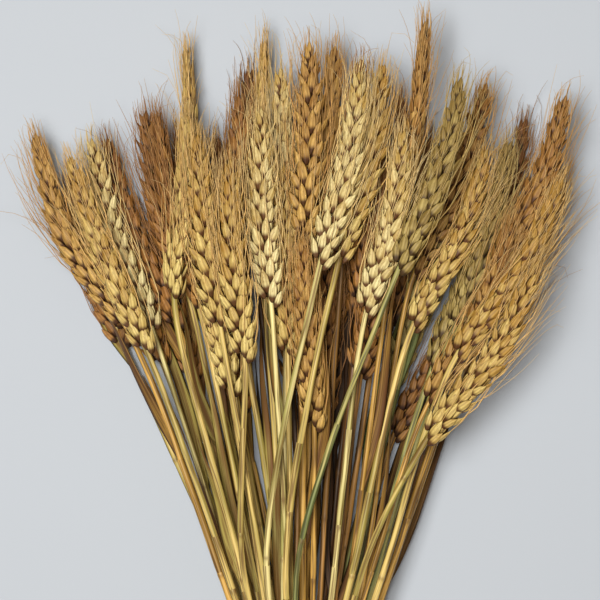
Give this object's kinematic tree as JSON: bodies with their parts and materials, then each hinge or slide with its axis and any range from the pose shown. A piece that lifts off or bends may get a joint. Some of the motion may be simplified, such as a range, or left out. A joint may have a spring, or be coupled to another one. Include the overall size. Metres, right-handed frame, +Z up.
{
  "type": "bundle of dried wheat",
  "caption": "Lying bundle of dried, bearded wheat stalks that fan out from a band of jute twine, for decoration.",
  "frame": {"origin": "on the surface that the bundle lies on, under the middle of its bounding box", "axes": "+Y from the cut ends towards the ears, +Z up from the surface, +X to the right seen from above with the ears away"},
  "size_m": [0.2598, 0.4004, 0.0825],
  "materials": {
    "straw_pale": "dry, pale straw",
    "straw_straw": "dry, straw yellow",
    "straw_golden": "dry, golden tan",
    "straw_brown": "dry, warm brown",
    "straw_dark": "dry, deep brown",
    "straw_olive": "dry, straw with a green cast",
    "jute_twine": "rough natural jute"
  },
  "bodies": {
    "root": {"stalk_01": "straw_brown", "stalk_02": "straw_dark", "stalk_03": "straw_dark", "stalk_04": "straw_dark", "stalk_05": "straw_dark", "stalk_06": "straw_brown", "stalk_07": "straw_brown", "stalk_08": "straw_dark", "stalk_09": "straw_brown", "stalk_10": "straw_dark", "stalk_11": "straw_dark", "stalk_12": "straw_dark", "stalk_13": "straw_brown", "stalk_14": "straw_brown", "stalk_15": "straw_dark", "stalk_16": "straw_brown", "stalk_17": "straw_dark", "stalk_18": "straw_dark", "stalk_19": "straw_brown", "stalk_20": "straw_olive", "stalk_21": "straw_dark", "stalk_22": "straw_pale", "stalk_23": "straw_brown", "stalk_24": "straw_straw", "stalk_25": "straw_brown", "stalk_26": "straw_dark", "stalk_27": "straw_dark", "stalk_28": "straw_olive", "stalk_29": "straw_golden", "stalk_30": "straw_golden", "stalk_31": "straw_straw", "stalk_32": "straw_straw", "stalk_33": "straw_golden", "stalk_34": "straw_brown", "stalk_35": "straw_olive", "stalk_36": "straw_olive", "stalk_37": "straw_golden", "stalk_38": "straw_straw", "stalk_39": "straw_pale", "stalk_40": "straw_straw", "stalk_41": "straw_golden", "stalk_42": "straw_golden", "stalk_43": "straw_brown", "stalk_44": "straw_golden", "stalk_45": "straw_golden", "stalk_46": "straw_straw", "stalk_47": "straw_straw", "stalk_48": "straw_pale", "stalk_49": "straw_straw", "stalk_50": "straw_pale", "stalk_51": "straw_golden", "stalk_52": "straw_straw", "stalk_53": "straw_straw", "stalk_54": "straw_pale", "stalk_55": "straw_olive", "stalk_56": "straw_straw", "stalk_57": "straw_straw", "twine_tie": "jute_twine"}
  },
  "joints": []
}
